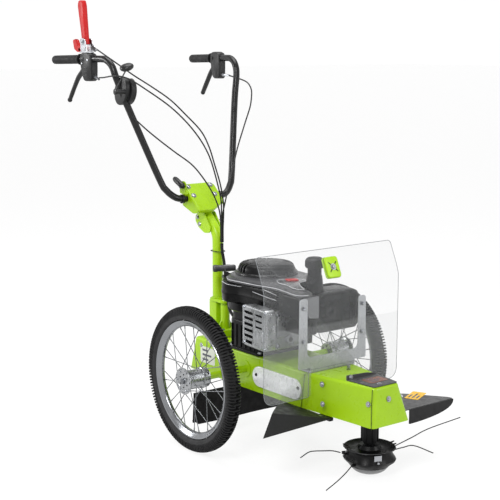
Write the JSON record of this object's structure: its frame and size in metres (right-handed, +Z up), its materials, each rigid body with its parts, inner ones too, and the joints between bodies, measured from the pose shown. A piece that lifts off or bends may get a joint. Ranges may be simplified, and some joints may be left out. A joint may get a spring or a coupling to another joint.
{
  "type": "wheeled brush mower",
  "caption": "Walk-behind brush mower: a line-trimmer head on a steel chassis, a petrol engine behind a clear shield, spoked wheels and a swivelling handlebar.",
  "frame": {"origin": "on the ground under the middle of the machine's box, the cords left out", "axes": "+X forward to the cutting head, +Y the machine's left, +Z up"},
  "size_m": [1.5664, 0.755, 1.552],
  "materials": {
    "green_paint": "bright lime-green powder coat, semi-gloss",
    "black_paint": "black powder coat, semi-gloss",
    "tyre": "matte black moulded tread",
    "grip_rubber": "matte ribbed black rubber",
    "belt_rubber": "matte black",
    "rim": "polished",
    "hub": "bright zinc",
    "axle": "dark satin paint on the gear case and its axle",
    "access_cover": "satin, with rounded edges",
    "stay": "satin sheet",
    "cast": "as cast",
    "muffler_guard": "satin pressed sheet",
    "crankcase": "black painted casting",
    "engine_plastic": "fine-grained black",
    "trim": "dark grey, semi-gloss",
    "tank": "black, semi-gloss",
    "clear": "clear polycarbonate sheet",
    "red_plastic": "bright red",
    "lever_black": "black dipped coating",
    "control_plastic": "black",
    "line_nylon": "black nylon",
    "cable": "black cable jacket",
    "bracket_zinc": "bright zinc",
    "shaft": "machined",
    "dish": "worn bright steel",
    "starter_plastic": "grey"
  },
  "bodies": {
    "frame": {"chassis": "green_paint", "rear_frame": "green_paint", "front_top_plate": "black_paint", "access_cover": "access_cover", "crankcase": "crankcase", "cylinder": "cast", "muffler_guard": "muffler_guard", "blower_housing": "engine_plastic", "engine_trim": "trim", "starter_dome": "engine_plastic", "fuel_tank": "tank", "air_filter_cover": "engine_plastic", "clear_shield": "clear", "shield_stay": "stay", "shield_clamp": "green_paint", "spindle_housing": "black_paint", "drive_axle": "axle", "rear_guard": "black_paint", "right_deflector": "black_paint", "left_deflector": "black_paint", "drive_belt": "belt_rubber", "swivel_barrel": "green_paint", "starter_rope": "cable"},
    "wheel_right": {"wheel_right_tyre": "tyre", "wheel_right_rim": "rim", "wheel_right_spoked_hub": "hub"},
    "wheel_left": {"wheel_left_tyre": "tyre", "wheel_left_rim": "rim", "wheel_left_spoked_hub": "hub"},
    "crank": {"crankshaft": "shaft"},
    "cutter": {"spindle_shaft": "shaft", "head_cup": "control_plastic", "cutting_line_1": "line_nylon", "cutting_line_2": "line_nylon", "cutting_line_3": "line_nylon", "cutting_line_4": "line_nylon"},
    "dish": {"glide_dish": "dish"},
    "idler": {"idler_arm": "shaft"},
    "column": {"steering_column": "green_paint", "handlebar_clamp": "green_paint", "cable_sleeve": "cable"},
    "handlebar": {"handlebar_tube": "black_paint", "left_grip": "grip_rubber", "right_grip": "grip_rubber", "left_perch": "control_plastic", "right_perch": "control_plastic", "throttle_housing": "control_plastic", "clutch_bracket": "bracket_zinc", "clutch_cable": "cable", "drive_cable": "cable", "throttle_cable": "cable", "brake_cable": "cable"},
    "drive_lever": {"drive_lever": "lever_black"},
    "brake_lever": {"brake_lever": "lever_black"},
    "clutch_lever": {"clutch_lever": "red_plastic"},
    "safety_catch": {"safety_catch": "red_plastic"},
    "throttle_lever": {"throttle_lever": "lever_black"},
    "lock_knob": {"lock_knob": "lever_black"},
    "fuel_cap": {"fuel_cap": "tank"},
    "starter_grip": {"starter_grip": "starter_plastic"}
  },
  "joints": [
    {"name": "wheel_right_spin", "type": "hinge", "parent": "frame", "child": "wheel_right", "pos_m": [0.149, -0.3315, 0.254], "axis": [0, 1, 0], "continuous": true},
    {"name": "wheel_left_spin", "type": "hinge", "parent": "frame", "child": "wheel_left", "pos_m": [0.149, 0.3315, 0.254], "axis": [0, 1, 0], "continuous": true},
    {"name": "cutter_spin", "type": "hinge", "parent": "frame", "child": "cutter", "pos_m": [0.683, 0, 0.15], "axis": [0, 0, 1], "continuous": true},
    {"name": "crank_spin", "type": "hinge", "parent": "frame", "child": "crank", "pos_m": [0.114, 0, 0.25], "axis": [0, 0, 1], "continuous": true},
    {"name": "dish_spin", "type": "hinge", "parent": "cutter", "child": "dish", "pos_m": [0.683, 0, 0.02], "axis": [0, 0, 1], "continuous": true},
    {"name": "idler_swing", "type": "hinge", "parent": "frame", "child": "idler", "pos_m": [0.399, -0.06, 0.26], "axis": [0, 0, 1], "range_deg": [0, 3.2]},
    {"name": "column_swivel", "type": "hinge", "parent": "frame", "child": "column", "pos_m": [-0.112, 0, 0.436], "axis": [0, 0, 1], "range_deg": [-15, 15], "deforming": ["cable_sleeve"]},
    {"name": "handlebar_tilt", "type": "hinge", "parent": "column", "child": "handlebar", "pos_m": [-0.262, 0, 0.818], "axis": [0, 1, 0], "range_deg": [-25, 10], "deforming": ["clutch_cable", "drive_cable", "throttle_cable", "brake_cable"]},
    {"name": "drive_lever_squeeze", "type": "hinge", "parent": "handlebar", "child": "drive_lever", "pos_m": [-0.584, -0.303, 1.3035], "axis": [0, 1, 0], "range_deg": [0, 28], "stiffness_Nm_per_rad": 0.8, "springref_deg": -11.46},
    {"name": "brake_lever_squeeze", "type": "hinge", "parent": "handlebar", "child": "brake_lever", "pos_m": [-0.584, 0.303, 1.3035], "axis": [0, 1, 0], "range_deg": [0, 28], "stiffness_Nm_per_rad": 0.8, "springref_deg": -11.46},
    {"name": "clutch_lever_swing", "type": "hinge", "parent": "handlebar", "child": "clutch_lever", "pos_m": [-0.573, -0.3035, 1.4], "axis": [0, -1, 0], "range_deg": [0, 60], "stiffness_Nm_per_rad": 1.5, "springref_deg": -11.46},
    {"name": "safety_catch_press", "type": "hinge", "parent": "handlebar", "child": "safety_catch", "pos_m": [-0.615, -0.3065, 1.369], "axis": [0, -1, 0], "range_deg": [0, 15], "stiffness_Nm_per_rad": 0.2, "springref_deg": -11.46},
    {"name": "throttle_lever_swing", "type": "hinge", "parent": "handlebar", "child": "throttle_lever", "pos_m": [-0.363, -0.3095, 1.218], "axis": [0, -1, 0], "range_deg": [0, 50]},
    {"name": "lock_knob_turn", "type": "hinge", "parent": "column", "child": "lock_knob", "pos_m": [-0.262, -0.0835, 0.8675], "axis": [0, 1, 0], "range_deg": [-90, 0]},
    {"name": "fuel_cap_turn", "type": "hinge", "parent": "frame", "child": "fuel_cap", "pos_m": [0.399, 0, 0.643], "axis": [0, 0, 1], "range_deg": [0, 90]},
    {"name": "starter_pull", "type": "slide", "parent": "frame", "child": "starter_grip", "axis": [-0.5495, -0.5495, 0.6294], "range_m": [0, 0.3], "stiffness_N_per_m": 20, "springref_m": -0.05, "deforming": ["starter_rope"]}
  ],
  "couplings": [
    {"joint": "crank_spin", "follows": "cutter_spin", "ratio": 1.4348},
    {"joint": "idler_swing", "follows": "clutch_lever_swing", "ratio": 0.05}
  ]
}
